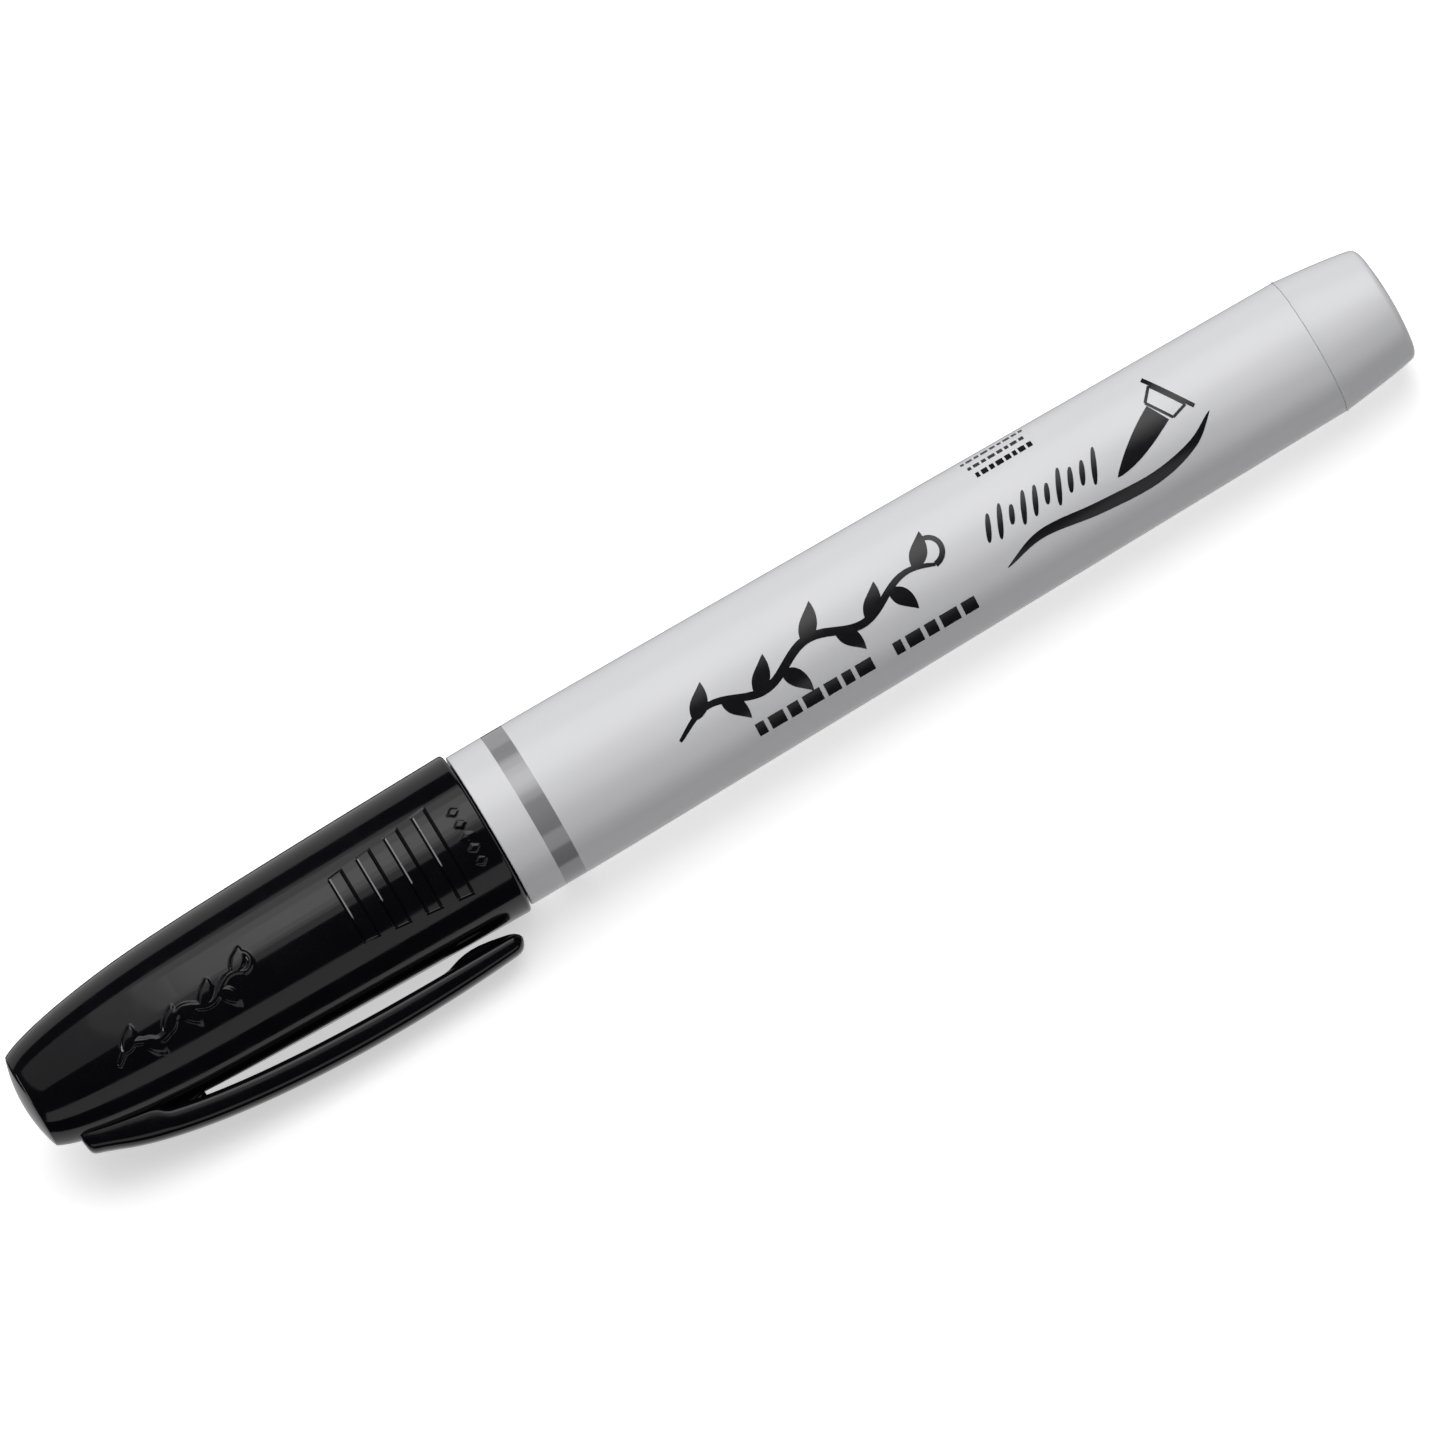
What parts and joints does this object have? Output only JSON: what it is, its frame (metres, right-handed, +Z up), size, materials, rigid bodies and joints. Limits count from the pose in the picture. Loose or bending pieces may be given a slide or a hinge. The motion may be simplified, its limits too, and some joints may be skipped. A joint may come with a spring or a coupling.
{
  "type": "brush pen",
  "caption": "Capped brush marker: grey tapered barrel, black pull-off cap with raised grip bars and a moulded pocket clip, flexible brush nib fed by a fibre reservoir.",
  "frame": {"origin": "on the pen's axis at the barrel's front shoulder, where the cap's mouth meets the barrel", "axes": "+X along the pen towards its tail, -X towards the cap's domed end; +Z up, with the pen lying on its side, rolled until its clip and grip bars rest on the table; the clip points down towards -Y"},
  "size_m": [0.1377, 0.0181, 0.0161],
  "materials": {
    "grey_plastic": "satin moulded polypropylene",
    "black_plastic": "gloss moulded polypropylene",
    "collar_plastic": "matt moulded acetal",
    "nib_fibre": "fine bonded polyester fibre, soaked in ink",
    "reservoir_fibre": "bundled fibre soaked in ink",
    "clear_film": "thin clear film",
    "liner_plastic": "natural moulded polyethylene"
  },
  "bodies": {
    "pen": {"barrel": "grey_plastic", "tail_plug": "grey_plastic", "nib_holder": "black_plastic", "tip_collar": "collar_plastic", "tip_stem": "nib_fibre", "ink_reservoir": "reservoir_fibre", "reservoir_film": "clear_film"},
    "nib": {"brush_tip": "nib_fibre"},
    "cap": {"cap_shell": "black_plastic", "cap_liner": "liner_plastic"},
    "clip": {"clip_arm": "black_plastic"}
  },
  "joints": [
    {"name": "cap_pull", "type": "slide", "parent": "pen", "child": "cap", "axis": [-1, 0, 0], "range_m": [0, 0.05]},
    {"name": "clip_flex", "type": "hinge", "parent": "cap", "child": "clip", "pos_m": [-0.032, -0.00717, -0.00505], "axis": [0, 0.5759, -0.8175], "range_deg": [0, 5], "stiffness_Nm_per_rad": 3},
    {"name": "nib_flex", "type": "hinge", "parent": "pen", "child": "nib", "pos_m": [-0.0269, 0, 0], "axis": [0, 1, 0], "range_deg": [-18, 18], "stiffness_Nm_per_rad": 0.01}
  ]
}
